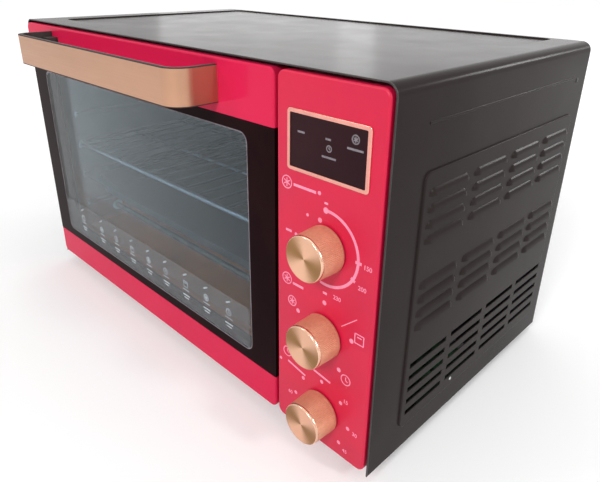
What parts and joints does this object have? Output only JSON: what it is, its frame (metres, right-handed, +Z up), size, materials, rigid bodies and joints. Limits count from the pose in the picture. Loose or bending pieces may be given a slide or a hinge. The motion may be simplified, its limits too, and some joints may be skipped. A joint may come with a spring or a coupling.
{
  "type": "countertop oven",
  "caption": "Countertop oven with a drop-down glass door, a flat strap handle, and a side panel with rotary knobs and a display window.",
  "frame": {"origin": "on the counter, under the middle of the oven's bounding box, door closed", "axes": "+X to the right as the user faces the door, +Y to the back, +Z up"},
  "size_m": [0.5686, 0.375, 0.336],
  "materials": {
    "case_paint": "satin black powder coat",
    "zinc_sheet": "plain zinc-coated sheet",
    "red_enamel": "glossy red",
    "red_plastic": "glossy red",
    "rose_gold": "satin rose-gold anodised",
    "dark_plastic": "matte dark brown",
    "black_glass": "gloss black",
    "clear_glass": "clear toughened glass",
    "silicone": "matte silicone",
    "foot_rubber": "matte rubber",
    "steel": "plain steel",
    "chrome_wire": "bright chrome",
    "tray_enamel": "black enamel",
    "element_steel": "heat-dulled steel",
    "ceramic": "unglazed white ceramic",
    "aluminium": "plain",
    "circuit_board": "green laminate",
    "white_nylon": "moulded",
    "black_plastic": "moulded"
  },
  "bodies": {
    "root": {"outer_case": "case_paint", "back_panel": "zinc_sheet", "case_screws": "steel", "base_plate": "zinc_sheet", "front_feet": "foot_rubber", "rear_feet": "foot_rubber", "foot_screws": "steel", "front_frame": "zinc_sheet", "panel_screws": "steel", "cavity_floor": "zinc_sheet", "cavity_ceiling": "zinc_sheet", "cavity_left_wall": "zinc_sheet", "cavity_right_wall": "zinc_sheet", "rack_ledges": "zinc_sheet", "cavity_back_wall": "zinc_sheet", "upper_elements": "element_steel", "lower_elements": "element_steel", "element_insulators": "ceramic", "crumb_tray": "zinc_sheet", "fan_housing": "zinc_sheet", "fan_motor": "steel", "motor_screws": "steel", "lamp_lens": "clear_glass", "lamp_holder": "ceramic", "lamp_bulb": "clear_glass", "control_panel": "red_plastic", "display_bezel": "rose_gold", "display_window": "black_glass", "display_board": "circuit_board", "board_standoffs": "white_nylon", "thermostat": "steel", "function_switch": "white_nylon", "timer_switch": "steel", "power_board": "circuit_board", "terminal_block": "white_nylon", "thermal_cutout": "aluminium", "cord_gland": "black_plastic", "hinge_brackets": "steel"},
    "door": {"door_top_band": "red_enamel", "door_bottom_band": "red_enamel", "door_outer_glass": "clear_glass", "door_inner_frame": "case_paint", "door_inner_glass": "clear_glass", "door_gasket": "silicone", "hinge_pins": "steel", "hinge_springs": "steel", "handle_strap": "rose_gold", "handle_liner": "dark_plastic", "handle_mounts": "dark_plastic", "handle_screws": "steel"},
    "rack": {"wire_rack": "chrome_wire"},
    "tray": {"baking_tray": "tray_enamel"},
    "temperature_control": {"temperature_knob": "rose_gold", "temperature_shaft": "steel"},
    "function_control": {"function_knob": "rose_gold", "function_shaft": "steel"},
    "timer_control": {"timer_knob": "rose_gold", "timer_shaft": "steel"},
    "fan": {"fan_wheel": "aluminium", "fan_shaft": "steel"}
  },
  "joints": [
    {"name": "door_hinge", "type": "hinge", "parent": "root", "child": "door", "pos_m": [0, -0.136, 0.0255], "axis": [1, 0, 0], "range_deg": [0, 84], "stiffness_Nm_per_rad": 1, "springref_deg": -34.38},
    {"name": "rack_slide", "type": "slide", "parent": "root", "child": "rack", "axis": [0, -1, 0], "range_m": [0, 0.147]},
    {"name": "tray_slide", "type": "slide", "parent": "root", "child": "tray", "axis": [0, -1, 0], "range_m": [0, 0.118]},
    {"name": "temperature_knob_turn", "type": "hinge", "parent": "root", "child": "temperature_control", "pos_m": [0.2294, -0.146, 0.2076], "axis": [0, 1, 0], "range_deg": [0, 270]},
    {"name": "function_knob_turn", "type": "hinge", "parent": "root", "child": "function_control", "pos_m": [0.2294, -0.146, 0.1306], "axis": [0, 1, 0], "range_deg": [0, 288]},
    {"name": "timer_knob_turn", "type": "hinge", "parent": "root", "child": "timer_control", "pos_m": [0.2294, -0.146, 0.0536], "axis": [0, 1, 0], "range_deg": [0, 315]},
    {"name": "fan_spin", "type": "hinge", "parent": "root", "child": "fan", "pos_m": [0.18, 0.014, 0.157], "axis": [1, 0, 0], "continuous": true}
  ],
  "couplings": [
    {"joint": "rack_slide", "follows": "door_hinge", "m_per_rad": 0.1},
    {"joint": "tray_slide", "follows": "door_hinge", "m_per_rad": 0.08}
  ]
}
